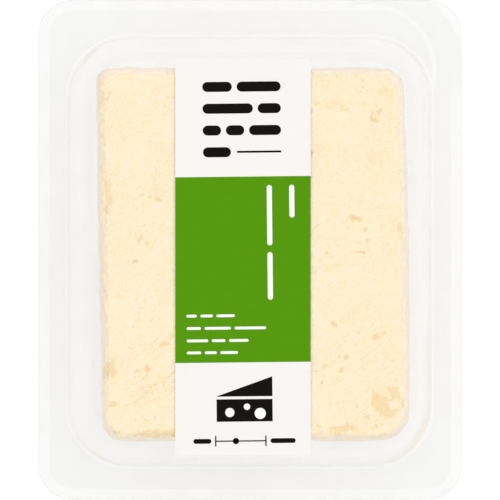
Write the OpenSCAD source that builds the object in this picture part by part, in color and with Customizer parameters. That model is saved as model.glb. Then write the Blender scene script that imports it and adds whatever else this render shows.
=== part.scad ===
// A block of feta in a clear pack: a formed tray with a flat flange, a lid film
// sealed on the flange, a paper label on the film, and the cheese inside.
// It lies on the tray's floor with the label up. Millimetres, +Z up, +Y along the
// pack towards the label's upper end, origin in the middle of the underside.

/* [Tray] */
// Width of the pack across its flange
pack_w = 106; // [104:1:116]
// Length of the pack along its flange
pack_l = 125; // [123:1:136]
// Radius of the flange's corners
flange_r = 8.75; // [4:0.25:12]
// Height from the underside to the top of the flange
tray_h = 27.5; // [27:0.5:40]
// Thickness of the formed sheet
sheet_t = 0.5; // [0.3:0.05:0.8]
// Width of the well at its mouth
well_w = 90.3; // [89.8:0.1:94]
// Length of the well at its mouth
well_l = 106.8; // [106:0.1:110]
// Radius of the well's corners at its mouth
well_r = 15; // [12:0.5:16]
// How far the well lies to the right of the pack's middle
well_x = -0.1; // [-0.5:0.1:0.5]
// How far the well lies above the pack's middle, as the label reads
well_y = -0.4; // [-0.5:0.1:0.5]
// How far the wall leans in between the mouth and the floor
wall_lean = 2.5; // [1:0.1:3]
// Radius of the bend where the flange turns down into the wall
mouth_bend = 1.2; // [0.8:0.1:2]
// Radius of the bend where the wall turns into the floor
floor_bend = 3; // [1.5:0.1:3.4]

/* [Cheese] */
// Width of the block at its upper end
block_w = 77.6; // [68:0.2:78]
// Length of the block
block_l = 94.2; // [84:0.2:95]
// Height of the block
block_h = 26.3; // [16:0.1:26.4]
// How far the block's middle lies to the right of the pack's middle
block_x = -0.1; // [-1:0.1:0.5]
// How far the block's middle lies above the pack's middle
block_y = -1.05; // [-1.5:0.05:0.8]
// How far the block's lower end has slipped to the right
block_skew = 1.6; // [0:0.1:2]
// How far the right side bulges between its corners
side_bulge = 0.7; // [0:0.1:1]
// How much smaller the block is at its top than at its base, on each side
side_slope = 1.1; // [0:0.1:2]
// Radius of the crumbly edge round the top
top_edge = 1.9; // [0.5:0.1:2.5]
// Radius of the edge round the base
base_edge = 2; // [1.6:0.1:2.5]
// Depth of the hollows left in the cut faces
hollow = 0.25; // [0:0.05:0.3]

/* [Lid film and label] */
// Thickness of the lid film
film_t = 0.12; // [0.05:0.01:0.3]
// Width of the label
label_w = 33.9; // [20:0.1:60]
// Length of the label
label_l = 99.1; // [60:0.1:100]
// Thickness of the label
label_t = 0.12; // [0.05:0.01:0.3]
// How far the label's middle lies to the right of the pack's middle
label_x = -1.75; // [-10:0.25:10]
// How far the label's middle lies above the pack's middle
label_y = -1.7; // [-5:0.1:5]

/* [Hidden] */
$fn = 64;

// The wall's lean as an angle, and the inside height that it runs over
well_depth = tray_h - sheet_t;
lean_angle = atan(wall_lean / well_depth);
// Distance of the well's corner centres from its middle
corner_x = well_w / 2 - well_r;
corner_y = well_l / 2 - well_r;
// Distances from those corner centres at which the flat flange ends and the flat floor begins
flange_start = well_r + bend_run(mouth_bend);
floor_end = well_r - wall_lean - bend_run(floor_bend);
bend_steps = 6;

// Corners of the block, going round from the upper right, as signs, and their radii
corner_signs = [[1, 1], [-1, 1], [-1, -1], [1, -1]];
corner_radii = [5.2, 3.4, 5, 7.2];
corner_steps = 6;
side_steps = 9;
edge_steps = 4;
wall_steps = 5;
// The top face's inner outlines, as shares of its rim
top_shares = [0.94, 0.8, 0.6, 0.4, 0.2];

// How far a bend of radius r reaches along the flat sheet from the corner it rounds
function bend_run(r) = r * (1 - sin(lean_angle)) / cos(lean_angle);

// Points along an arc
function arc(centre, r, from, to, steps) =
    [for (i = [0 : steps]) let (a = from + (to - from) * i / steps) centre + r * [cos(a), sin(a)]];

// One side of the formed sheet, from the flange down the wall to the floor.
// gap is how far it lies below the side that faces the cheese.
function sheet_side(gap) = concat(
    arc([flange_start, tray_h - mouth_bend], mouth_bend - gap, 90, 180 - lean_angle, bend_steps),
    arc([floor_end, sheet_t + floor_bend], floor_bend + gap, -lean_angle, -90, bend_steps)
);
function reversed(list) = [for (i = [len(list) - 1 : -1 : 0]) list[i]];

// A plate with rounded corners, standing on z = 0
module rounded_plate(w, l, r, t) {
    linear_extrude(t) {
        square([w - 2 * r, l], center = true);
        square([w, l - 2 * r], center = true);
        for (s = corner_signs) translate([s[0] * (w / 2 - r), s[1] * (l / 2 - r)]) circle(r);
    }
}

// Carries a flat profile round the well: turned about each corner, straight along each side
module around_well() {
    for (side = [0 : 3]) {
        across = side % 2 == 0 ? corner_x : corner_y;
        along = side % 2 == 0 ? corner_y : corner_x;
        rotate(90 * side) translate([across, along, 0]) {
            rotate_extrude(angle = 90) children();
            rotate([90, 0, 0]) linear_extrude(2 * along) children();
        }
    }
}

module tray() {
    color([0.93, 0.95, 0.95, 0.45]) union() {
        difference() {
            translate([0, 0, tray_h - sheet_t]) rounded_plate(pack_w, pack_l, flange_r, sheet_t);
            translate([well_x, well_y, tray_h - 2 * sheet_t])
                rounded_plate(2 * (corner_x + flange_start), 2 * (corner_y + flange_start), flange_start, 3 * sheet_t);
        }
        translate([well_x, well_y, 0]) {
            around_well() polygon(concat(sheet_side(0), reversed(sheet_side(sheet_t))));
            rounded_plate(2 * (corner_x + floor_end), 2 * (corner_y + floor_end), floor_end, sheet_t);
        }
    }
}

// Slow waves that stand for the hollows and swells of a hand-cut face
function wave(a, b, c) = sin(5.3 * a + 40) * sin(4.1 * b + 25) + 0.6 * sin(11 * a - 7 * b + 3 * c);

// How far to the right the block has slipped at height y along the pack
function slip(y) = block_skew * (0.5 - y / block_l);

// One corner of the block's outline, drawn inset from its widest outline
function block_corner(i, inset) = let (
    s = corner_signs[i],
    room = max(corner_radii[i], inset + 1),
    centre = [s[0] * (block_w / 2 - room), s[1] * (block_l / 2 - room)]
) arc(centre, room - inset, 90 * i, 90 * i + 90, corner_steps);

// The points between two corners, bulging on the right side only
function block_side(i, inset) = let (
    start = block_corner(i, inset)[corner_steps],
    end = block_corner((i + 1) % 4, inset)[0],
    bulge = i == 3 ? side_bulge : 0
) [for (k = [1 : side_steps]) let (t = k / (side_steps + 1)) start + t * (end - start) + [bulge * sin(180 * t), 0]];

// The block's outline at height z, with each cut side a little hollow or swollen
function block_outline(inset, z) = [
    for (i = [0 : 3], p = concat(block_corner(i, inset), block_side(i, inset)))
        let (dent = hollow * wave(p[0], p[1], 2 * z) * min(1, z / base_edge))
            [p[0] * (1 - dent / block_w) + slip(p[1]), p[1] * (1 - dent / block_l), z]
];

// Levels from the base to the rim of the top, as [height, inset]
base_levels = [for (i = [0 : edge_steps]) let (a = 90 * i / edge_steps)
    [base_edge * (1 - cos(a)), base_edge * (1 - sin(a))]];
wall_levels = [for (i = [1 : wall_steps]) let (t = i / wall_steps)
    [base_edge + t * (block_h - base_edge - top_edge), side_slope * t]];
top_levels = [for (i = [1 : edge_steps]) let (a = 90 * i / edge_steps)
    [block_h - top_edge * (1 - sin(a)), side_slope + top_edge * (1 - cos(a))]];
levels = concat(base_levels, wall_levels, top_levels);
rim = block_outline(levels[len(levels) - 1][1], block_h);

// The top face falls into shallow hollows away from its rim
function top_point(p, share) =
    [p[0] * share, p[1] * share, block_h - hollow * (1 - share) * (1.4 + wave(p[0] * share, p[1] * share, 0))];

block_rings = concat(
    [for (l = levels) block_outline(l[1], l[0])],
    [for (share = top_shares) [for (p = rim) top_point(p, share)]]
);
ring_size = len(rim);
ring_count = len(block_rings);
block_points = concat([for (r = block_rings) each r], [top_point([0, 0], 0)]);
block_faces = concat(
    [[for (j = [0 : ring_size - 1]) j]],
    [for (i = [0 : ring_count - 2], j = [0 : ring_size - 1])
        let (a = i * ring_size + j, b = i * ring_size + (j + 1) % ring_size)
            each [[a, a + ring_size, b], [b, a + ring_size, b + ring_size]]],
    [for (j = [0 : ring_size - 1]) let (last = (ring_count - 1) * ring_size)
        [last + j, ring_count * ring_size, last + (j + 1) % ring_size]]
);

module feta_block() {
    color([1, 0.94, 0.81])
        translate([block_x, block_y, sheet_t]) polyhedron(block_points, block_faces, convexity = 4);
}

module lid_film() {
    color([0.97, 0.98, 0.98, 0.3]) translate([0, 0, tray_h]) rounded_plate(pack_w, pack_l, flange_r, film_t);
}

module label() {
    color([0.98, 0.97, 0.96])
        translate([label_x - label_w / 2, label_y - label_l / 2, tray_h + film_t])
            cube([label_w, label_l, label_t]);
}

tray();
feta_block();
lid_film();
label();
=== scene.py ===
"""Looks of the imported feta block: the cheese, its clear tray, the lid film and the label.
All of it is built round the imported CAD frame."""

import math

import bpy
import numpy as np
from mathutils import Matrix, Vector


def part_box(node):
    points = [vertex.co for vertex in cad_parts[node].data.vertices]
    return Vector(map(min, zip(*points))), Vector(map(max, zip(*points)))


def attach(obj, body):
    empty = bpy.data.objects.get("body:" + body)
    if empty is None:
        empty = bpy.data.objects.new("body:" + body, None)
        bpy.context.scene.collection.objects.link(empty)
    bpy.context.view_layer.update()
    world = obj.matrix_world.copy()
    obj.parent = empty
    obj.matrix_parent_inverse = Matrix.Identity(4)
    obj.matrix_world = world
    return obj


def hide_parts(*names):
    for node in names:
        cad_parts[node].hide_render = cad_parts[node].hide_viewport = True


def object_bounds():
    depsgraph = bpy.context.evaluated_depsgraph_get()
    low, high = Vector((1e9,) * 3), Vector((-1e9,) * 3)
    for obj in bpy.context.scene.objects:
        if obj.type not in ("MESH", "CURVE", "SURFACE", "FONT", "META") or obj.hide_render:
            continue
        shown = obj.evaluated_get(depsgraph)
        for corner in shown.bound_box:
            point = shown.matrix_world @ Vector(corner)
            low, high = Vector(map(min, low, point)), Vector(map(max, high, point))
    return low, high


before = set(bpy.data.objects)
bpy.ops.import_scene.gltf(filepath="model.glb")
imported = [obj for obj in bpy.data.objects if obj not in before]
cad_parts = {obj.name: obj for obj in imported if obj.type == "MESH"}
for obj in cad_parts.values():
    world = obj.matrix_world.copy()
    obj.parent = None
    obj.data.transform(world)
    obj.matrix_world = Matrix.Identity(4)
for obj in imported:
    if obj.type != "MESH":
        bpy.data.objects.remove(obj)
cad_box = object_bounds()

# Lengths in this script are millimetres, and MM takes them to metres when a mesh is made.
MM = 0.001
SEED = 7

# ---------------------------------------------------------------- sizes, as the CAD has them
TRAY_LOW, TRAY_HIGH = (np.array(corner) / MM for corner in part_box("tray"))
BLOCK_LOW, BLOCK_HIGH = (np.array(corner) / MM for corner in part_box("feta_block"))
LABEL_LOW, LABEL_HIGH = (np.array(corner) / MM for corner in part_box("label"))
LABEL_MIDDLE = (LABEL_LOW + LABEL_HIGH)[:2] / 2
LABEL_HALF = (LABEL_HIGH - LABEL_LOW)[:2] / 2
FLANGE_HALF = (TRAY_HIGH - TRAY_LOW)[:2] / 2
FLANGE_TOP = TRAY_HIGH[2]
FLANGE_RADIUS = 8.75
SHEET = 0.5
WELL_CENTRE = np.array([-0.1, -0.4])
WELL_HALF = np.array([45.15, 53.4])
WELL_RADIUS = 15.0
WALL_LEAN = 2.5
MOUTH_BEND = 1.2
FLOOR_BEND = 3.0
BLOCK_HALF = np.array([38.8, 47.1])
BLOCK_CENTRE = np.array([-0.1, -1.05])
BLOCK_RADII = (5.2, 3.4, 5.0, 7.2)
BLOCK_SKEW = 1.6
SIDE_BULGE = 0.7
SIDE_SLOPE = 1.1
TOP_EDGE = 1.9
BASE_EDGE = 2.0

CORNER_SIGNS = ((1, 1), (-1, 1), (-1, -1), (1, -1))


# ---------------------------------------------------------------- numbers that vary from place to place
LATTICE_STEPS = np.array([374761393, 668265263, 1440662683])
LATTICE_SEED_STEP = 974634777
OCTAVE_SHARE = 0.55  # how strong each octave of the noise is beside the one before
OCTAVE_SHIFT = 0.37


def smooth(low, high, value):
    """0 at low and beyond it, 1 at high and beyond it, and a smooth step between."""
    t = np.clip((value - low) / (high - low), 0, 1)
    return t * t * (3 - 2 * t)


def lattice(cell, seed):
    """A repeatable value from -1 to 1 for each whole-number place in space."""
    mixed = (cell * LATTICE_STEPS).sum(-1) + seed * LATTICE_SEED_STEP
    mixed = (mixed ^ (mixed >> 13)) * 1274126177 & 0x7FFFFFFF
    return ((mixed ^ (mixed >> 16)) & 0xFFFF) / 32767.5 - 1


def noise(points, size, seed, octaves=1):
    """Smooth noise from about -1 to 1 at the given points, with lumps about size across."""
    total = 0.0
    for octave in range(octaves):
        place = points / size * 2**octave + OCTAVE_SHIFT * octave
        cell = np.floor(place).astype(np.int64)
        share = place - cell
        share = share * share * (3 - 2 * share)
        value = 0.0
        for corner in np.ndindex(2, 2, 2):
            weights = np.where(np.array(corner) == 1, share, 1 - share).prod(axis=-1)
            value = value + weights * lattice(cell + np.array(corner), seed + octave)
        total = total + value * OCTAVE_SHARE**octave
    return total


def flat_noise(x, y, size, seed, octaves=1):
    """Noise over the plane."""
    return noise(np.stack([x, y, np.zeros_like(x)], -1), size, seed, octaves)


def rounded_distance(x, y, half, radius, centre=(0.0, 0.0)):
    """Distance from a rounded rectangle's outline, negative inside it."""
    qx = np.abs(x - centre[0]) - half[0] + radius
    qy = np.abs(y - centre[1]) - half[1] + radius
    return np.hypot(np.maximum(qx, 0), np.maximum(qy, 0)) + np.minimum(np.maximum(qx, qy), 0) - radius


# ---------------------------------------------------------------- meshes
def make_object(name, points, faces, materials, smooth_shaded=True):
    """A mesh object from points in millimetres."""
    mesh = bpy.data.meshes.new(name)
    mesh.from_pydata((np.asarray(points) * MM).tolist(), [], [list(map(int, face)) for face in faces])
    mesh.validate()
    mesh.polygons.foreach_set("use_smooth", [smooth_shaded] * len(mesh.polygons))
    piece = bpy.data.objects.new(name, mesh)
    bpy.context.scene.collection.objects.link(piece)
    for material in materials:
        mesh.materials.append(material)
    return piece


def add_attribute(piece, name, values):
    """A number from 0 to 1 for each vertex, that a material can read."""
    layer = piece.data.attributes.new(name, "FLOAT", "POINT")
    layer.data.foreach_set("value", np.clip(values, 0, 1).astype(np.float32))


def plan_ring(half, radius, centre, corner_steps, side_steps):
    """Points round a rounded rectangle, anticlockwise, from where its upper right corner begins."""
    arcs = []
    for i, (sx, sy) in enumerate(CORNER_SIGNS):
        middle = np.array(centre) + np.array([sx * (half[0] - radius), sy * (half[1] - radius)])
        angles = np.radians(90 * i + 90 * np.linspace(0, 1, corner_steps + 1))
        arcs.append(middle + radius * np.stack([np.cos(angles), np.sin(angles)], -1))
    ring = []
    for i, arc in enumerate(arcs):
        start, end = arc[-1], arcs[(i + 1) % 4][0]
        shares = np.linspace(0, 1, side_steps + 1)[1:-1, None]
        ring += [arc, start + shares * (end - start)]
    return np.concatenate(ring)


def loft(rings):
    """Points and faces of a closed skin over rings of equally many points, closed by a fan at each end."""
    size, count = len(rings[0]), len(rings)
    first, last = rings[0].mean(0), rings[-1].mean(0)
    points = np.concatenate([*rings, first[None], last[None]])
    at = np.arange(size)
    after = (at + 1) % size
    faces = []
    for i in range(count - 1):
        here, above = i * size, (i + 1) * size
        faces += np.stack([here + at, here + after, above + after, above + at], -1).tolist()
    faces += [[count * size, b, a] for a, b in zip(at, after)]
    top = (count - 1) * size
    faces += [[count * size + 1, top + a, top + b] for a, b in zip(at, after)]
    return points, faces


# ---------------------------------------------------------------- materials
class Nodes:
    """Builds one material's node tree."""

    def __init__(self, name):
        self.material = bpy.data.materials.new(name)
        self.material.use_nodes = True
        self.tree = self.material.node_tree
        self.tree.nodes.clear()
        self.output = self.add("ShaderNodeOutputMaterial")

    def add(self, kind, **settings):
        node = self.tree.nodes.new(kind)
        for key, value in settings.items():
            setattr(node, key, value)
        return node

    def link(self, source, target):
        self.tree.links.new(source, target)

    def set(self, socket, value):
        """Links an output into a socket, or sets a plain value on it."""
        if isinstance(value, bpy.types.NodeSocket):
            self.link(value, socket)
        elif isinstance(value, tuple) and len(value) == 3 and socket.type == "RGBA":
            socket.default_value = (*value, 1)
        else:
            socket.default_value = value

    def place(self):
        return self.add("ShaderNodeTexCoord").outputs["Object"]

    def noise(self, size, detail=4.0, roughness=0.55, drawn_out=1.0):
        """Noise from 0 to 1 with lumps about size millimetres across, drawn out along the knife's drag."""
        place = self.place()
        if drawn_out != 1.0:
            mapping = self.add("ShaderNodeMapping", vector_type="TEXTURE")
            mapping.inputs["Rotation"].default_value = (0, 0, math.radians(DRAG_ANGLE))
            mapping.inputs["Scale"].default_value = (drawn_out, 1, 1)
            self.link(place, mapping.inputs["Vector"])
            place = mapping.outputs["Vector"]
        texture = self.add("ShaderNodeTexNoise")
        texture.inputs["Scale"].default_value = 1 / (size * MM)
        texture.inputs["Detail"].default_value = detail
        texture.inputs["Roughness"].default_value = roughness
        self.link(place, texture.inputs["Vector"])
        return texture.outputs["Fac"]

    def attribute(self, name):
        return self.add("ShaderNodeAttribute", attribute_name=name).outputs["Fac"]

    def ranged(self, value, low, high, to_low=0.0, to_high=1.0, interpolation="SMOOTHSTEP"):
        """Maps a value's range onto another, and holds it there."""
        node = self.add("ShaderNodeMapRange", interpolation_type=interpolation)
        self.set(node.inputs["Value"], value)
        for key, number in (("From Min", low), ("From Max", high), ("To Min", to_low), ("To Max", to_high)):
            node.inputs[key].default_value = number
        return node.outputs["Result"]

    def maths(self, operation, a, b):
        node = self.add("ShaderNodeMath", operation=operation)
        self.set(node.inputs[0], a)
        self.set(node.inputs[1], b)
        return node.outputs[0]

    def mix(self, share, a, b):
        """A colour mix."""
        node = self.add("ShaderNodeMix", data_type="RGBA")
        self.set(node.inputs[0], share)
        self.set(node.inputs[6], a)
        self.set(node.inputs[7], b)
        return node.outputs[2]

    def over(self, below, amount, strength, above):
        """One colour laid over another, where an amount from 0 to 1 says so."""
        return self.mix(self.maths("MULTIPLY", amount, strength), below, above)

    def bump(self, height, strength, distance, normal=None):
        node = self.add("ShaderNodeBump")
        node.inputs["Strength"].default_value = strength
        node.inputs["Distance"].default_value = distance * MM
        self.set(node.inputs["Height"], height)
        if normal is not None:
            self.link(normal, node.inputs["Normal"])
        return node.outputs["Normal"]

    def principled(self, **values):
        """The material's one Principled shader; underscores in the names stand for spaces."""
        node = self.add("ShaderNodeBsdfPrincipled")
        for key, value in values.items():
            self.set(node.inputs[key.replace("_", " ")], value)
        self.link(node.outputs[0], self.output.inputs["Surface"])
        return self.material


# Colours of the curd, in linear light
CREAM = (0.930, 0.812, 0.620)
WARM_CREAM = (0.930, 0.805, 0.592)
CLOUD = (0.922, 0.770, 0.485)
DRAGGED = (0.908, 0.732, 0.420)
PALE = (0.935, 0.848, 0.680)
SPECK = (0.865, 0.670, 0.370)
SIDE_LIGHT = (0.968, 0.868, 0.730)
SIDE_DARK = (0.952, 0.825, 0.650)
# Painted shade for the sides that face left and down, away from the key light
PAINTED_SIDE_SHADE = (0.948, 0.798, 0.560)
WORN = (0.858, 0.662, 0.355)
# Painted shade in the pits and knife lines, stronger the deeper they are
PAINTED_PIT_SHADE = (0.870, 0.660, 0.355)
# Painted shade in the sides' small holes and cracks
PAINTED_OPENING_SHADE = (0.880, 0.705, 0.450)


def top_mottle(n):
    """Colour of the cut top: cream with clouds, dragged streaks, pale flecks and darker specks."""
    patches = n.ranged(n.noise(9, 3), 0.36, 0.66)
    clouds = n.ranged(n.noise(1.7, 7, 0.85), 0.49, 0.57)
    dragged = n.ranged(n.noise(0.55, 6, 0.8, 2.4), 0.525, 0.575)
    gather = n.ranged(n.noise(10, 3), 0.40, 0.56, 0.2, 1.0)
    specks = n.maths("MULTIPLY", n.ranged(n.noise(0.50, 6, 0.75, 1.7), 0.55, 0.60), gather)
    pale = n.ranged(n.noise(0.8, 6, 0.8, 2.0), 0.55, 0.64)
    colour = n.mix(patches, CREAM, WARM_CREAM)
    colour = n.over(colour, clouds, 0.70, CLOUD)
    colour = n.over(colour, dragged, 0.80, DRAGGED)
    colour = n.over(colour, pale, 0.60, PALE)
    return n.over(colour, specks, 0.90, SPECK)


def side_mottle(n):
    """Colour of the sides: paler than the top, with painted shade, more beige, on the sides that face left
    and down, away from the key light.
    """
    colour = n.mix(n.ranged(n.noise(1.6, 6, 0.75), 0.42, 0.60), SIDE_LIGHT, SIDE_DARK)
    # Painted shade on the sides that face left and down, away from the key light.
    return n.over(colour, n.attribute("painted_shade_left_down"), 0.85, PAINTED_SIDE_SHADE)


def side_openings(n):
    """1 in the small holes and thin cracks of the sides."""
    holes = n.ranged(n.noise(1.5, 4, 0.6), 0.61, 0.67)
    from_crack = n.maths("ABSOLUTE", n.maths("SUBTRACT", n.noise(6, 6, 0.6), 0.5), 0.0)
    cracked_zone = n.ranged(n.noise(14, 2), 0.49, 0.60)
    cracks = n.maths("MULTIPLY", n.ranged(from_crack, 0.0, 0.009, 1.0, 0.0), cracked_zone)
    return n.maths("MULTIPLY", n.maths("MAXIMUM", holes, cracks), n.attribute("open"))


def feta_material():
    """Cream curd, yellower in its crumbled spots, paler on its sides, moist and translucent, with painted
    shade, darker and yellower, in its pits, knife lines and side holes, and on the sides that face left and
    down.
    """
    n = Nodes("feta_curd")
    fine = n.maths("SUBTRACT", n.noise(0.55, 5, 0.7, 1.5), 0.5)

    def broken(name, sway, low, high):
        """A vertex attribute with its outline broken up by fine noise."""
        return n.ranged(n.maths("ADD", n.attribute(name), n.maths("MULTIPLY", fine, sway)), low, high)

    openings = side_openings(n)
    colour = n.over(top_mottle(n), broken("side", 2.0, 0.20, 0.70), 0.88, side_mottle(n))
    colour = n.over(colour, broken("worn", 3.5, 0.42, 0.66), 0.92, WORN)
    # Painted shade: pits and knife lines are coloured darker and yellower the deeper they are.
    colour = n.over(colour, broken("painted_pit_shade", 1.2, 0.20, 0.60), 0.90, PAINTED_PIT_SHADE)
    # Painted shade in the sides' small holes and cracks, which are drawn by bump only.
    colour = n.over(colour, openings, 0.55, PAINTED_OPENING_SHADE)
    relief = n.bump(n.noise(0.28, 4, 0.65), 0.30, 0.08)
    relief = n.bump(n.noise(0.75, 5, 0.65, 2.0), 0.38, 0.20, relief)
    relief = n.bump(n.maths("SUBTRACT", 1.0, openings), 0.5, 0.16, relief)
    return n.principled(
        Base_Color=colour,
        Roughness=n.ranged(n.noise(2.5, 3), 0.3, 0.7, 0.42, 0.62),
        Normal=relief,
        Subsurface_Weight=0.15,
        Subsurface_Radius=(1.0, 0.72, 0.42),
        Subsurface_Scale=0.8 * MM,
        Specular_IOR_Level=0.35,
    )


MIRRORED_STRAIGHT = 0.035   # share of the light that a clear sheet mirrors, seen straight on and flat
MIRRORED_FLAT = 0.80


def clear_plastic(name, face_tint, seal_tint_and_painted_contour, gloss_roughness, ripple):
    """Thin clear sheet: it lets light straight through, mirrors more the flatter it is seen, and is tinted
    where its bend attribute says so:
    painted contour shade along the tray's bends and rim, and the seal's tint on the film."""
    n = Nodes(name)
    facing = n.add("ShaderNodeLayerWeight")
    facing.inputs["Blend"].default_value = 0.5
    rise = n.maths("POWER", facing.outputs["Facing"], 5.0)
    mirrored = n.ranged(rise, 0.0, 1.0, MIRRORED_STRAIGHT, MIRRORED_FLAT, "LINEAR")
    haze = n.ranged(n.noise(7, 3), 0.3, 0.75, 0.0, 0.35)
    tint = n.mix(haze, face_tint, tuple(0.985 * c for c in face_tint))
    # Painted shade lines on the tray's bends and rim; on the film, the seal's tint
    tint = n.mix(n.attribute("bend"), tint, seal_tint_and_painted_contour)
    through = n.add("ShaderNodeBsdfTransparent")
    n.set(through.inputs["Color"], tint)
    gloss = n.add("ShaderNodeBsdfGlossy")
    gloss.inputs["Color"].default_value = (1, 1, 1, 1)
    uneven = n.ranged(n.noise(3, 3), 0.3, 0.7, gloss_roughness, 2.2 * gloss_roughness)
    n.set(gloss.inputs["Roughness"], uneven)
    n.set(gloss.inputs["Normal"], n.bump(n.noise(ripple, 2), 0.25, 0.05))
    mixed = n.add("ShaderNodeMixShader")
    n.link(mirrored, mixed.inputs[0])
    n.link(through.outputs[0], mixed.inputs[1])
    n.link(gloss.outputs[0], mixed.inputs[2])
    n.link(mixed.outputs[0], n.output.inputs["Surface"])
    return n.material


def coated_paper(name, colour, mottle, roughness, shine):
    """Smooth label paper or ink on it: a faint mottle in the colour and in the gloss."""
    n = Nodes(name)
    spread = n.ranged(n.noise(4, 4), 0.3, 0.7)
    fibres = n.ranged(n.noise(0.35, 4, 0.7, 3.0), 0.3, 0.7)
    shade = n.mix(n.maths("MULTIPLY", spread, 0.5), colour, tuple(c * (1 - mottle) for c in colour))
    shade = n.mix(n.maths("MULTIPLY", fibres, 0.3), shade, tuple(c * (1 - 1.5 * mottle) for c in colour))
    return n.principled(
        Base_Color=shade,
        Roughness=n.ranged(n.noise(6, 3), 0.3, 0.7, roughness, roughness + 0.12),
        Normal=n.bump(n.noise(0.4, 3), 0.15, 0.02),
        Specular_IOR_Level=shine,
    )


def floor_material():
    """A white light table, as clear packs are photographed on."""
    n = Nodes("pale_floor")
    return n.principled(
        Base_Color=n.mix(n.noise(60, 3), (0.35, 0.35, 0.35), (0.37, 0.37, 0.37)),
        Roughness=0.9,
        Specular_IOR_Level=0.0,
        Emission_Color=(1.0, 1.0, 1.0),
        Emission_Strength=0.66,
    )


# ---------------------------------------------------------------- the lid's surface
LID_GAP = 0.012      # between the flange and the film, so that the two skins don't lie in each other
FILM = 0.06
LID_SAG = 0.48       # how far the film hangs below the flange over the cheese
SAG_REACH = 5.0      # how far in from the well's mouth the film reaches its full sag
LID_RIPPLE = 0.07
SEAL_DEPTH = 0.07
SEAL_MARGIN = 2.6    # from the flange's edge to the seal
SEAL_TINT = 0.70
FLANGE_TINT = 0.42   # tint of the film on the flange beside the seal
RIM_DROP = 0.16
FLANGE_WARP = 0.05
PEEL_RADIUS = 17.0   # the arc that cuts the seal off before the corner where the film is peeled
PEEL_CENTRE = np.array([29.9, 44.9])


def seal_mask(x, y):
    """1 where the film is pressed to the flange, 0 beside the seal and outside the arc at the peel corner."""
    inside = -rounded_distance(x, y, FLANGE_HALF, FLANGE_RADIUS)
    outside_well = rounded_distance(x, y, WELL_HALF, WELL_RADIUS, WELL_CENTRE)
    band = smooth(SEAL_MARGIN - 0.35, SEAL_MARGIN + 0.35, inside) * smooth(0.5, 1.0, outside_well)
    beyond = np.hypot(x - PEEL_CENTRE[0], y - PEEL_CENTRE[1]) - PEEL_RADIUS
    at_corner = (x > PEEL_CENTRE[0]) & (y > PEEL_CENTRE[1])
    return band * np.where(at_corner, 1 - smooth(-0.3, 0.3, beyond), 1.0)


def seal_tint(x, y):
    """How much the film is tinted: on the seal, past the peel corner's arc, and most along the arc itself."""
    beyond = np.hypot(x - PEEL_CENTRE[0], y - PEEL_CENTRE[1]) - PEEL_RADIUS
    at_corner = (x > PEEL_CENTRE[0] - 4) & (y > PEEL_CENTRE[1] - 4)
    sealed = SEAL_TINT * seal_mask(x, y) * np.where(at_corner, smooth(-1.0, -1.5, beyond), 1.0)
    past = 1.1 * SEAL_TINT * smooth(0.0, 0.4, beyond) * (1 - smooth(6.0, 7.0, beyond))
    line = np.exp(-((beyond / 0.28) ** 2))
    on_flange = FLANGE_TINT * smooth(0.0, 1.5, rounded_distance(x, y, WELL_HALF, WELL_RADIUS, WELL_CENTRE))
    return np.maximum(np.maximum(on_flange, sealed), np.where(at_corner, np.maximum(past, line), 0.0))


def flange_drop(x, y):
    """How far the flange's top lies below its highest level: seal, turned-down rim and slight warp."""
    inside = -rounded_distance(x, y, FLANGE_HALF, FLANGE_RADIUS)
    rim = RIM_DROP * smooth(1.3, 0.0, inside)
    warp = FLANGE_WARP * (1 + flat_noise(x, y, 30, SEED + 1))
    return SEAL_DEPTH * seal_mask(x, y) + rim + warp * smooth(0.0, 3.0, inside)


def lid_height(x, y):
    """Height of the film's underside."""
    into_well = -rounded_distance(x, y, WELL_HALF, WELL_RADIUS, WELL_CENTRE)
    over_well = smooth(0.0, SAG_REACH, into_well)
    beside_label = smooth(0.0, 8.0, rounded_distance(x, y, LABEL_HALF, 1.0, LABEL_MIDDLE))
    ripples = LID_RIPPLE * flat_noise(x, y, 14, SEED + 2, 2) * beside_label * over_well
    on_flange = flange_drop(x, y) * (1 - smooth(0.0, 1.5, into_well))
    return FLANGE_TOP + LID_GAP - on_flange - LID_SAG * over_well + ripples


# ---------------------------------------------------------------- tray and film
CORNER_STEPS = 24
SIDE_STEPS = 64
FLANGE_RINGS = 44
BEND_RINGS = 9
WALL_RINGS = 10
WALL_SWELL = 0.10    # how uneven the formed wall is
BEND_PAINTED_SHADE = 0.25     # painted contour shade on the tray's sheet where it bends down at the mouth
# The tray's clear colour, and its painted contour shade, darker and warmer, for its bends and rim
TRAY_CLEAR, TRAY_PAINTED_CONTOUR = (0.984, 0.984, 0.984), (0.91, 0.90, 0.88)
FILM_CLEAR, FILM_SEALED = (0.978, 0.978, 0.978), (0.930, 0.930, 0.930)
FLOOR_SHARES = (0.97, 0.9, 0.8, 0.65, 0.5, 0.35, 0.2, 0.08)


def well_ring(from_corner_centres):
    """The ring that lies this far outside the well's corner centres."""
    half = WELL_HALF - WELL_RADIUS + from_corner_centres
    return plan_ring(half, from_corner_centres, WELL_CENTRE, CORNER_STEPS, SIDE_STEPS)


def with_height(ring, height):
    return np.column_stack([ring, np.broadcast_to(height, len(ring))])


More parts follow.
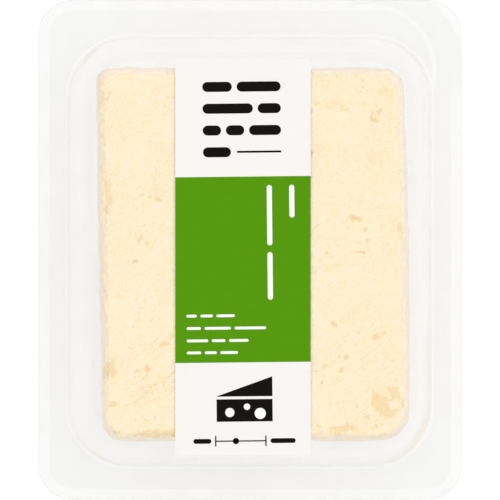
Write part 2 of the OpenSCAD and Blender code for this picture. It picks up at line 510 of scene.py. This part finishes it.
def tray_profile(gap):
    """Distances from the corner centres, and heights, from the mouth's bend down the wall to the floor."""
    lean = math.atan(WALL_LEAN / (FLANGE_TOP - SHEET))
    run = (1 - math.sin(lean)) / math.cos(lean)
    mouth = np.array([WELL_RADIUS + MOUTH_BEND * run, FLANGE_TOP - MOUTH_BEND])
    foot = np.array([WELL_RADIUS - WALL_LEAN - FLOOR_BEND * run, SHEET + FLOOR_BEND])
    down = np.radians(np.linspace(90, 180, BEND_RINGS) - np.linspace(0, math.degrees(lean), BEND_RINGS))
    round_foot = np.radians(np.linspace(-math.degrees(lean), -90, BEND_RINGS))
    upper = mouth + (MOUTH_BEND - gap) * np.stack([np.cos(down), np.sin(down)], -1)
    lower = foot + (FLOOR_BEND + gap) * np.stack([np.cos(round_foot), np.sin(round_foot)], -1)
    shares = np.linspace(0, 1, WALL_RINGS + 1)[1:-1, None]
    return np.concatenate([upper, upper[-1] + shares * (lower[0] - upper[-1]), lower])


def tray_side(gap):
    """Rings of one side of the sheet, from the flange's rim to the middle of the floor."""
    profile = tray_profile(gap)
    rim = plan_ring(FLANGE_HALF, FLANGE_RADIUS, (0, 0), CORNER_STEPS, SIDE_STEPS)
    mouth = well_ring(profile[0, 0])
    rings = []
    for share in np.linspace(0, 1, FLANGE_RINGS + 1)[:-1]:
        ring = rim + share * (mouth - rim)
        rings.append(with_height(ring, FLANGE_TOP - gap - flange_drop(ring[:, 0], ring[:, 1])))
    edge_drop = flange_drop(mouth[:, 0], mouth[:, 1])
    for distance, height in profile:
        ring = well_ring(distance)
        down = (FLANGE_TOP - height) / (FLANGE_TOP - SHEET)
        uneven = flat_noise(ring[:, 0] * 1.5, ring[:, 1] * 1.5, 22, SEED + 3)
        swell = WALL_SWELL * uneven * math.sin(math.pi * min(down, 1))
        outward = ring - WELL_CENTRE
        outward = outward / np.linalg.norm(outward, axis=1)[:, None]
        rings.append(with_height(ring + outward * swell[:, None], height - edge_drop * max(0, 1 - 8 * down)))
    floor = rings[-1]
    middle = np.append(WELL_CENTRE, floor[:, 2].mean())
    rings += [middle + share * (floor - middle) for share in FLOOR_SHARES]
    return rings


def make_tray():
    upper, lower = tray_side(0.0), tray_side(SHEET)
    points, faces = loft(upper[::-1] + lower)
    material = clear_plastic("clear_tray_sheet", TRAY_CLEAR, TRAY_PAINTED_CONTOUR, 0.05, 5)
    piece = make_object("tray_shell", points, faces, [material])
    share = np.zeros(len(upper))
    # Painted shade: a darker, warmer contour line on the lower half of the mouth's bend and along the rim
    share[FLANGE_RINGS + BEND_RINGS // 2:FLANGE_RINGS + BEND_RINGS] = BEND_PAINTED_SHADE
    share[0] = 1.0
    both_sides = np.repeat(np.append(share[::-1], share), len(upper[0]))
    add_attribute(piece, "bend", np.append(both_sides, (0, 0)))
    return piece


def film_side(lift):
    """Rings of one face of the film, from its middle to its rim."""
    rim = plan_ring(FLANGE_HALF, FLANGE_RADIUS, (0, 0), CORNER_STEPS, SIDE_STEPS)
    mouth = well_ring(WELL_RADIUS)
    plans = [WELL_CENTRE + share * (mouth - WELL_CENTRE) for share in np.linspace(0.02, 1, 46)]
    plans += [mouth + share * (rim - mouth) for share in np.linspace(0, 1, FLANGE_RINGS + 1)[1:]]
    return [with_height(p, lid_height(p[:, 0], p[:, 1]) + lift) for p in plans]


def make_film():
    points, faces = loft(film_side(FILM) + film_side(0.0)[::-1])
    material = clear_plastic("clear_lid_film", FILM_CLEAR, FILM_SEALED, 0.07, 4)
    piece = make_object("lid_film_sheet", points, faces, [material])
    add_attribute(piece, "bend", seal_tint(points[:, 0], points[:, 1]))
    return piece


# ---------------------------------------------------------------- cheese
TOP_CELL = 0.36
SIDE_CELL = 0.75
EDGE_CELLS = 6
BASE_RINGS = 5
DRAG_ANGLE = 38      # direction in which the knife dragged the curd, in degrees from +X
LOOSE_TOP_PITS = 260
PIT_CLUSTERS = 75
PITS_IN_CLUSTER = 12
SIDE_PITS = 560
WORN_DEPTH = 0.16
LINE_DEPTH = 0.12
TOP_SWELL = 0.05     # how far the top's grain may stand above the block's own height
# Shares of a mark's listed sizes that its hollow is given, since a hollow fades out past them
MARK_LENGTH = 0.7
MARK_WIDTH = 0.75
MARK_DEPTH = 1.6
# Larger marks on the top: x, y, length, width, depth, angle
TOP_MARKS = (
    (26.3, 7.9, 2.6, 0.9, 0.45, -15), (28.8, 5.2, 1.2, 0.8, 0.30, 40), (29.5, 2.3, 1.0, 0.7, 0.25, 60),
    (27.5, -0.6, 2.4, 0.5, 0.30, 5), (21.0, -18.6, 1.6, 0.9, 0.35, -30), (15.0, 24.0, 1.7, 0.6, 0.30, 50),
    (14.6, 34.5, 1.6, 0.8, 0.35, 35), (9.6, -1.6, 1.2, 0.5, 0.25, 70), (-23.1, 12.6, 1.8, 0.6, 0.30, -8),
    (-25.0, 13.2, 1.0, 0.6, 0.25, 20), (-27.6, 2.6, 1.4, 0.7, 0.30, 30), (-25.7, 1.8, 1.3, 0.6, 0.25, -35),
    (-28.8, -3.1, 1.0, 0.8, 0.30, 10), (-25.6, -29.8, 1.3, 0.9, 0.35, 40), (-34.2, -38.6, 1.8, 1.2, 0.35, 15),
    (24.0, -27.0, 1.2, 1.0, 0.30, 0), (18.0, -33.0, 1.6, 0.6, 0.20, 65), (31.0, 32.5, 2.2, 0.7, 0.30, -25),
)
# Crumbled patches on the top: x, y, length, width, angle, strength
WORN_PATCHES = (
    (33.3, -39.2, 4.9, 2.9, 5, 1.0), (29.6, -41.6, 3.4, 2.4, 30, 1.0), (35.3, -40.6, 3.6, 2.4, 0, 1.0),
    (36.2, -36.0, 2.2, 1.5, -45, 0.9), (22.5, -44.8, 7.0, 1.5, 5, 0.8), (30.5, -44.6, 3.5, 1.3, 15, 0.5),
    (-24.0, -46.0, 10.0, 1.3, 0, 0.9), (-35.6, 14.0, 1.2, 5.0, 0, 0.85), (-34.8, -29.8, 1.8, 3.2, 10, 0.9),
    (37.2, 5.6, 1.3, 2.4, 0, 0.9), (30.4, 39.2, 6.5, 2.2, -8, 0.45), (21.5, 36.5, 4.5, 1.8, -12, 0.45),
    (-23.0, 20.0, 4.5, 3.0, 30, 0.30), (-26.0, 4.0, 4.5, 3.0, 30, 0.30), (-24.5, -34.0, 6.0, 2.2, 35, 0.45),
    (31.5, 24.0, 4.0, 3.0, 35, 0.30), (25.5, -16.0, 3.5, 3.0, 60, 0.35), (29.0, -27.5, 4.0, 2.0, 30, 0.35),
)


def grid_faces(index):
    """Four-cornered faces over a grid of point numbers."""
    return np.stack([index[:-1, :-1], index[:-1, 1:], index[1:, 1:], index[1:, :-1]], -1).reshape(-1, 4)


def grid_rim(index):
    """The point numbers round a grid's edge."""
    return np.concatenate([index[0, :-1], index[:-1, -1], index[-1, :0:-1], index[:0:-1, 0]])


def edge_positions(half, middle_cell):
    """Grid lines across the block: close together over the rounded edges, evenly spaced between them."""
    angles = np.linspace(0, math.pi / 2, EDGE_CELLS + 1)
    edge = TOP_EDGE * (1 - np.cos(angles))
    count = int(round(2 * (half - TOP_EDGE) / middle_cell))
    middle = np.linspace(TOP_EDGE - half, half - TOP_EDGE, count + 1)[1:-1]
    return np.concatenate([edge - half, middle, half - edge[::-1]])


def round_corners(x, y):
    """Pulls a rectangle's corners in to the block's own corner radii."""
    radius = np.select(
        [(x >= 0) & (y >= 0), (x < 0) & (y >= 0), (x < 0) & (y < 0)], BLOCK_RADII[:3], BLOCK_RADII[3]
    )
    dx = np.maximum(np.abs(x) - (BLOCK_HALF[0] - radius), 0)
    dy = np.maximum(np.abs(y) - (BLOCK_HALF[1] - radius), 0)
    pull = np.where((dx > 0) & (dy > 0), np.maximum(dx, dy) / np.maximum(np.hypot(dx, dy), 1e-9), 1.0)
    return np.sign(x) * (np.abs(x) - dx * (1 - pull)), np.sign(y) * (np.abs(y) - dy * (1 - pull))


def block_place(x, y, height, inset):
    """Where a point of the upright block goes: inset from its outline, slipped and bulged."""
    x = x * (1 - inset / BLOCK_HALF[0])
    y = y * (1 - inset / BLOCK_HALF[1])
    slipped = x + BLOCK_SKEW * (0.5 - y / (2 * BLOCK_HALF[1]))
    bulge = SIDE_BULGE * np.clip(x / BLOCK_HALF[0], 0, 1) ** 3 * np.cos(math.pi / 2 * y / BLOCK_HALF[1])
    return np.stack([slipped + bulge + BLOCK_CENTRE[0], y + BLOCK_CENTRE[1], height + np.zeros_like(x)], -1)


def side_levels():
    """Heights and insets of the rings from the top's edge down to the base."""
    side_top, side_low = BLOCK_HIGH[2] - TOP_EDGE, BLOCK_LOW[2] + BASE_EDGE
    shares = np.linspace(0, 1, int(round((side_top - side_low) / SIDE_CELL)) + 1)[1:]
    angles = np.linspace(0, math.pi / 2, EDGE_CELLS)[1:]
    levels = [(side_top + share * (side_low - side_top), SIDE_SLOPE * (1 - share)) for share in shares]
    return levels + [(side_low - BASE_EDGE * math.sin(a), BASE_EDGE * (1 - math.cos(a))) for a in angles]


def block_skin():
    """Points and faces of the smooth block: a fine grid on top, rings down the sides, coarser rings below."""
    gx, gy = np.meshgrid(edge_positions(BLOCK_HALF[0], TOP_CELL), edge_positions(BLOCK_HALF[1], TOP_CELL))
    from_edge = np.minimum(BLOCK_HALF[0] - np.abs(gx), BLOCK_HALF[1] - np.abs(gy))
    over = np.clip(TOP_EDGE - from_edge, 0, TOP_EDGE)
    heights = BLOCK_HIGH[2] - (TOP_EDGE - np.sqrt(TOP_EDGE**2 - over**2))
    rx, ry = round_corners(gx, gy)
    grid = block_place(rx, ry, heights, SIDE_SLOPE)
    rows, columns = gx.shape
    index = np.arange(rows * columns).reshape(rows, columns)
    faces = grid_faces(index).tolist()
    loop = grid_rim(index)
    lx, ly = rx.ravel()[loop], ry.ravel()[loop]
    rings = [block_place(lx, ly, height, inset) for height, inset in side_levels()]
    foot = rings[-1]
    middle = foot.mean(0)
    rings += [middle + share * (foot - middle) for share in np.linspace(1, 0.1, BASE_RINGS + 1)[1:]]
    points = [grid.reshape(-1, 3), *rings, middle[None]]
    above, start = loop, rows * columns
    for _ in rings:
        here = start + np.arange(len(loop))
        faces += np.stack([above, here, np.roll(here, -1), np.roll(above, -1)], -1).tolist()
        above, start = here, start + len(loop)
    faces += [[a, start, b] for a, b in zip(above, np.roll(above, -1))]
    return np.concatenate(points), faces


def dent(points, centre, axes, sizes):
    """1 at the middle of a long soft hollow, falling to 0 past its sizes along the given axes."""
    local = (points - centre) @ np.array(axes).T / np.array(sizes)
    return np.exp(-2.0 * (local**2).sum(-1) ** 1.25)


def flat_axes(angle):
    """Axes along and across a direction in the plane, and upright."""
    turn = math.radians(angle)
    return ((math.cos(turn), math.sin(turn), 0), (-math.sin(turn), math.cos(turn), 0), (0, 0, 1))


def deepen(total, points, centre, axes, sizes, depth):
    """Adds one hollow to the total, over the points near it only."""
    near = np.abs(points - centre).max(-1) < 2.2 * max(sizes)
    total[near] += depth * dent(points[near], centre, axes, sizes)


def ragged(points, size, reach, seed):
    """The points moved about, so that what is drawn on them gets a broken outline."""
    return points + reach * np.stack([noise(points, size, seed + k, 2) for k in (0, 5, 9)], -1)


def top_pits(points, top):
    """Depth of the small dragged pits and the larger marks in the cut top."""
    points = ragged(points, 0.8, 0.35, SEED + 20)
    rng = np.random.default_rng(SEED)
    depth = np.zeros(len(points))
    loose = rng.uniform(-1, 1, (LOOSE_TOP_PITS, 2)) * (BLOCK_HALF - 2)
    middles = rng.uniform(-1, 1, (PIT_CLUSTERS, 1, 2)) * (BLOCK_HALF - 3)
    gathered = middles + rng.normal(0, 1.6, (PIT_CLUSTERS, PITS_IN_CLUSTER, 2))
    for x, y in np.concatenate([loose, gathered.reshape(-1, 2)]) + BLOCK_CENTRE:
        length = 0.40 + 0.9 * rng.random() ** 2.5
        angle = DRAG_ANGLE + rng.normal(0, 25)
        size = (length, length * rng.uniform(0.3, 0.65), 2.0)
        deepen(depth, points, (x, y, top), flat_axes(angle), size, 0.05 + 0.20 * rng.random() ** 2)
    for x, y, length, width, deep, angle in TOP_MARKS:
        size = (MARK_LENGTH * length, MARK_WIDTH * width, 2.0)
        deepen(depth, points, (x, y, top), flat_axes(angle), size, MARK_DEPTH * deep)
    return depth


def side_pits(points, opened):
    """Depth of the holes and short cracks in the broken sides, gathered in patches."""
    rng = np.random.default_rng(SEED + 1)
    depth = np.zeros(len(points))
    places = points[opened > 0.6]
    places = places[noise(places, 9.0, SEED + 14, 2) > -0.15]
    uneven = ragged(points, 1.0, 0.40, SEED + 25)
    for place in places[rng.integers(len(places), size=SIDE_PITS)]:
        size = 0.5 + 1.7 * rng.random() ** 3
        tall = size * rng.uniform(0.35, 0.9)
        deepen(depth, uneven, place, np.eye(3), (size, size, tall), 0.20 + 0.60 * rng.random() ** 2)
    return depth


def worn_amount(points):
    """How crumbled the surface is, from 0 to 1, in patches on the top."""
    worn = np.zeros(len(points))
    uneven = noise(points, 2.4, SEED + 4, 5)
    for x, y, length, width, angle, strength in WORN_PATCHES:
        axes = np.array(flat_axes(angle))[:2, :2]
        local = (points[:, :2] - (x, y)) @ axes.T / (length, width)
        inside = 1.0 - np.hypot(local[:, 0], local[:, 1]) + 0.70 * uneven
        worn = np.maximum(worn, strength * smooth(-0.1, 0.6, inside))
    return worn


def knife_lines(points):
    """Fine parallel drags near the lower left corner."""
    turn = math.radians(DRAG_ANGLE)
    across = -math.sin(turn) * points[:, 0] + math.cos(turn) * points[:, 1]
    region = 1 - smooth(6.0, 13.0, np.hypot(points[:, 0] + 25.0, points[:, 1] + 32.0))
    wander = noise(points, 6.0, SEED + 5, 2)
    lines = np.clip(np.sin(across * 3.4 + 2.5 * wander), 0, 1) ** 2
    return region * lines * (0.5 + 0.5 * noise(points, 2.2, SEED + 6))


def vertex_normals(piece):
    normals = np.zeros(len(piece.data.vertices) * 3)
    piece.data.vertices.foreach_get("normal", normals)
    return normals.reshape(-1, 3)


def curd_relief(points, on_side, on_top, at_edge, worn):
    """Swells and grain of the cut faces, coarser on the sides, less what has crumbled off the top's edge."""
    relief = 0.16 * noise(points, 24.0, SEED + 7) * on_top + 0.10 * on_side * noise(points, 13.0, SEED + 8)
    relief += (0.045 + 0.20 * on_side + 0.05 * worn) * noise(points, 3.4, SEED + 9, 3)
    relief += (0.030 + 0.13 * on_side + 0.03 * worn) * noise(points, 1.1, SEED + 10, 2)
    relief -= 0.55 * at_edge * np.clip(noise(points, 1.9, SEED + 11, 3) + 0.30, 0, 1)
    relief -= 0.45 * at_edge * np.clip(noise(points, 0.85, SEED + 12, 2) + 0.1, 0, 1)
    return relief


def make_cheese():
    points, faces = block_skin()
    piece = make_object("feta_curd_block", points, faces, [feta_material()])
    normals = vertex_normals(piece)
    base, top = BLOCK_LOW[2], BLOCK_HIGH[2]
    from_rim = top - points[:, 2]
    on_side = smooth(0.35, 0.85, 1 - np.abs(normals[:, 2]))
    on_top = (1 - on_side) * (points[:, 2] > (base + top) / 2)
    at_edge = smooth(0.03, 0.30, 1 - np.clip(normals[:, 2], 0, 1)) * smooth(4.5, 1.0, from_rim)
    opened = on_side * smooth(1.5, 4.5, from_rim)
    pits = top_pits(points, top) * on_top + side_pits(points, opened) * opened
    worn = np.clip(worn_amount(points) * (points[:, 2] > top - 4), 0, 1)
    lines = knife_lines(points) * on_top
    relief = curd_relief(points, on_side, on_top, at_edge, worn)
    relief -= pits + WORN_DEPTH * worn + LINE_DEPTH * lines
    relief *= smooth(base + 0.02, base + 1.2, points[:, 2])
    moved = points + normals * relief[:, None]
    moved[:, 2] = np.minimum(moved[:, 2], top + TOP_SWELL)
    piece.data.vertices.foreach_set("co", (moved * MM).ravel())
    piece.data.update()
    broken = 0.5 + 0.5 * noise(points, 1.0, SEED + 13, 2)
    # Painted shade: how far a side faces left and down, away from the key light, strongest near the top.
    painted_shade_left_down = smooth(-0.6, 1.3, -(normals[:, 0] + normals[:, 1])) * (1 - 0.6 * smooth(2.0, 9.0, from_rim))
    add_attribute(piece, "side", smooth(0.0, 0.25, 1 - normals[:, 2] - 0.24 * broken))
    # Painted shade in the pits and knife lines, by their depth.
    add_attribute(piece, "painted_pit_shade", pits / (0.35 + 0.65 * on_side) + 0.80 * lines)
    add_attribute(piece, "open", opened)
    add_attribute(piece, "painted_shade_left_down", painted_shade_left_down * (0.8 + 0.3 * noise(points, 11.0, SEED + 15, 2)))
    add_attribute(piece, "worn", worn)
    return piece


# ---------------------------------------------------------------- label
PAPER = 0.09
INK = 0.012
PATCH_CELL = 1.0
PRINT_TILT = 0.6     # degrees that the print is turned on the paper
GREEN_TOP, GREEN_BOTTOM = 20.05, -26.4
PAPER_WHITE = (0.760, 0.733, 0.719)
INK_GREEN = (0.076, 0.258, 0.0015)
INK_WHITE = (0.80, 0.80, 0.77)
INK_BLACK = (0.005, 0.004, 0.003)


def label_height(x, y):
    return lid_height(x, y) + FILM + 0.01


def draped_sheet(outline_rows, lift, thickness, tilt=0.0):
    """A closed thin sheet over a grid of points given from the label's middle; it follows the lid."""
    turn = math.radians(tilt)
    x, y = outline_rows[..., 0], outline_rows[..., 1]
    px = LABEL_MIDDLE[0] + x * math.cos(turn) - y * math.sin(turn)
    py = LABEL_MIDDLE[1] + x * math.sin(turn) + y * math.cos(turn)
    low = label_height(px, py) + lift
    rows, columns = px.shape
    lower = np.stack([px, py, low], -1).reshape(-1, 3)
    upper = np.stack([px, py, low + thickness], -1).reshape(-1, 3)
    index = np.arange(rows * columns).reshape(rows, columns)
    cells = grid_faces(index)
    loop = grid_rim(index)
    after, count = np.roll(loop, -1), rows * columns
    rim = np.stack([loop, after, after + count, loop + count], -1)
    return np.concatenate([lower, upper]), cells[:, ::-1].tolist() + (cells + count).tolist() + rim.tolist()


def rectangle(x0, y0, x1, y1):
    """Rows of points over a rectangle."""
    xs = np.linspace(x0, x1, max(2, int(abs(x1 - x0) / PATCH_CELL) + 1))
    ys = np.linspace(y0, y1, max(2, int(abs(y1 - y0) / PATCH_CELL) + 1))
    return np.stack(np.meshgrid(xs, ys), -1)


def bar(x0, y0, x1, y1):
    """Rows of points over a bar with round ends; (x0, y0) and (x1, y1) are two opposite corners."""
    upright = abs(y1 - y0) > abs(x1 - x0)
    length, width = (y1 - y0, x1 - x0) if upright else (x1 - x0, y1 - y0)
    radius, steps = width / 2, 7
    angles = np.linspace(0, math.pi / 2, steps)
    ends = radius * (1 - np.cos(angles))
    middle = np.linspace(radius, length - radius, max(2, int(length / PATCH_CELL)))[1:-1]
    along = np.concatenate([ends, middle, (length - ends)[::-1]])
    from_end = np.minimum(along, length - along)
    round_half = np.sqrt(np.clip(radius**2 - (radius - from_end) ** 2, 0, None))
    half = np.maximum(np.where(from_end < radius, round_half, radius), 0.02)
    shares = np.linspace(-1, 1, 5)[:, None]
    a, b = np.broadcast_to(along, (5, len(along))), width / 2 + shares * half
    return np.stack([x0 + b[::-1], y0 + a], -1) if upright else np.stack([x0 + a, y0 + b], -1)


def disc(x, y, radius):
    """A round spot: a bar hardly longer than it is wide."""
    return bar(x - radius, y - radius, x + radius + 1e-3, y + radius)


def strip_between(x0, x1, lower, upper, steps):
    """Rows of points between two curves that are given as functions of x."""
    xs = np.linspace(x0, x1, steps)
    low, high = np.array([lower(x) for x in xs]), np.array([upper(x) for x in xs])
    shares = np.linspace(0, 1, 6)[:, None]
    return np.stack([np.broadcast_to(xs, (6, steps)), low + shares * (high - low)], -1)


def joined(name, sheets, material):
    """One piece from several sheets."""
    points, faces, start = [], [], 0
    for sheet_points, sheet_faces in sheets:
        points.append(sheet_points)
        faces += [[start + i for i in face] for face in sheet_faces]
        start += len(sheet_points)
    return make_object(name, np.concatenate(points), faces, [material], smooth_shaded=False)


def blocks(left, middle, height, widths, gap):
    """A row of plain bars of the given widths, as far apart as gap."""
    row = []
    for width in widths:
        row.append(bar(left, middle - height / 2, left + width, middle + height / 2))
        left += width + gap
    return row


def name_panel():
    """Rows of plain bars and a rule where a maker's name would be."""
    rows = blocks(-9.75, 42.55, 2.5, (7.4, 11.0), 1.2)
    rows += blocks(-9.75, 37.1, 2.5, (12.6, 5.8), 1.2)
    rows += blocks(-9.75, 31.65, 2.5, (4.6, 4.6, 8.0), 1.2)
    return rows + blocks(-9.75, 26.2, 2.5, (7.0,), 1.2) + [rectangle(-1.2, 26.0, 9.85, 26.5)]


def wedge_sign():
    """A plain wedge of cheese, as its sloping top and its side."""
    left, right, low, line, high = -7.0, 7.0, -41.2, -35.6, -30.0
    rise = high - line - 0.7

    def slope(x):
        return line + 0.75 + rise * (x - left) / (right - left)

    side = rectangle(left, low, right, line)
    return [side, strip_between(left, right, lambda x: line + 0.7, slope, 15)]


def wedge_holes():
    """The holes in the wedge's side."""
    return [disc(-3.7, -38.9, 1.15), disc(0.6, -37.5, 0.8), disc(3.9, -39.2, 1.4)]


def strength_scale():
    """A line with end ticks and a dot, and a short bar beside each end."""
    y = -46.05
    line = [rectangle(-7.3, y - 0.16, 5.25, y + 0.16), disc(-2.25, y, 0.8)]
    ticks = [rectangle(x - 0.17, y - 1.3, x + 0.17, y + 1.3) for x in (-7.3, 5.25)]
    return line + ticks + [bar(-12.9, y - 0.6, -8.4, y + 0.6), bar(6.4, y - 0.6, 12.7, y + 0.6)]


def product_words():
    """Plain bars on the green, where a product's name and a few small lines would be."""
    words = [bar(6.1, -10.8, 7.4, 1.1), bar(6.1, 2.8, 7.4, 17.9), bar(11.7, 9.7, 13.0, 17.9)]
    small_lines = (
        (-14.7, (2.6, 3.1, 4.6)), (-17.8, (3.6, 6.6, 7.9)),
        (-20.9, (5.4, 3.4, 4.9)), (-23.9, (3.6, 3.0, 4.4)),
    )
    for height, widths in small_lines:
        words += blocks(-14.3, height, 0.7, widths, 0.9)
    return words


def make_label():
    """The paper and, on it, one thin piece for each colour of the print."""
    paper = coated_paper("label_paper_white", PAPER_WHITE, 0.02, 0.38, 0.25)
    green = coated_paper("label_ink_green", INK_GREEN, 0.06, 0.45, 0.05)
    white = coated_paper("label_ink_white", INK_WHITE, 0.02, 0.42, 0.20)
    black = coated_paper("label_ink_black", INK_BLACK, 0.2, 0.45, 0.05)
    sheet = draped_sheet(rectangle(*-LABEL_HALF, *LABEL_HALF), 0.0, PAPER)
    field = rectangle(-LABEL_HALF[0] + 0.02, GREEN_BOTTOM, LABEL_HALF[0] - 0.02, GREEN_TOP)
    field[..., 1] += field[..., 0] * math.tan(math.radians(PRINT_TILT))
    light = [draped_sheet(rows, PAPER + INK, INK, PRINT_TILT) for rows in product_words() + wedge_holes()]
    dark_rows = name_panel() + wedge_sign() + strength_scale()
    dark = [draped_sheet(rows, PAPER, INK, PRINT_TILT) for rows in dark_rows]
    return [
        joined("label_paper", [sheet], paper),
        joined("label_green_field", [draped_sheet(field, PAPER, INK)], green),
        joined("label_white_bars", light, white),
        joined("label_black_print", dark, black),
    ]


# ---------------------------------------------------------------- stage
CAMERA_DISTANCE = 2.0
SENSOR = 36.0
HORIZON = 0.85
OVERHEAD = 1.10
FLOOR_HALF = 6000.0
KEY_PLACE = (0.70, 0.65, 2.75)
KEY_SIZE = 1.4
KEY_POWER = 19.0


def make_camera():
    """Straight above the pack, which fills the picture from end to end."""
    low, high = (np.array(corner) for corner in cad_box)
    data = bpy.data.cameras.new("camera")
    data.sensor_width = SENSOR
    data.lens = SENSOR * CAMERA_DISTANCE / (high - low)[1]
    data.clip_end = 20.0
    camera = bpy.data.objects.new("camera", data)
    camera.location = (*((low + high) / 2)[:2], FLANGE_TOP * MM + CAMERA_DISTANCE)
    bpy.context.scene.collection.objects.link(camera)
    bpy.context.scene.camera = camera


def make_floor():
    corners = [(FLOOR_HALF * x, FLOOR_HALF * y, 0) for x, y in ((-1, -1), (1, -1), (1, 1), (-1, 1))]
    floor = make_object("floor", corners, [(0, 1, 2, 3)], [floor_material()], smooth_shaded=False)


def softbox(name, place, size, power):
    """A square area light that looks at the pack and isn't mirrored in its clear sheets."""
    data = bpy.data.lights.new(name, "AREA")
    data.size = size
    data.energy = power
    lamp = bpy.data.objects.new(name, data)
    lamp.location = place
    lamp.visible_glossy = False
    lamp.rotation_mode = "QUATERNION"
    lamp.rotation_quaternion = (-Vector(place)).to_track_quat("-Z", "Y")
    bpy.context.scene.collection.objects.link(lamp)


def make_world():
    """Even studio surroundings, brighter overhead than at the horizon."""
    world = bpy.data.worlds.new("studio")
    bpy.context.scene.world = world
    world.use_nodes = True
    nodes, links = world.node_tree.nodes, world.node_tree.links
    direction = nodes.new("ShaderNodeTexCoord")
    parts = nodes.new("ShaderNodeSeparateXYZ")
    level = nodes.new("ShaderNodeMapRange")
    for key, value in (("From Min", 0.0), ("From Max", 0.7), ("To Min", HORIZON), ("To Max", OVERHEAD)):
        level.inputs[key].default_value = value
    links.new(direction.outputs["Generated"], parts.inputs[0])
    links.new(parts.outputs["Z"], level.inputs["Value"])
    links.new(level.outputs["Result"], nodes["Background"].inputs["Strength"])
    nodes["Background"].inputs["Color"].default_value = (1.0, 1.0, 1.0, 1)


def make_light():
    make_world()
    softbox("key_softbox", KEY_PLACE, KEY_SIZE, KEY_POWER)
    bpy.context.scene.view_settings.view_transform = "Standard"
    bpy.context.scene.cycles.transparent_max_bounces = 32


def main():
    make_camera()
    make_floor()
    make_light()
    cheese = make_cheese()
    tray = make_tray()
    film = make_film()
    label = make_label()
    for piece in (cheese, tray, film, *label):
        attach(piece, "root")
    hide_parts("feta_block")
    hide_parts("tray")
    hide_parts("lid_film")
    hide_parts("label")


main()
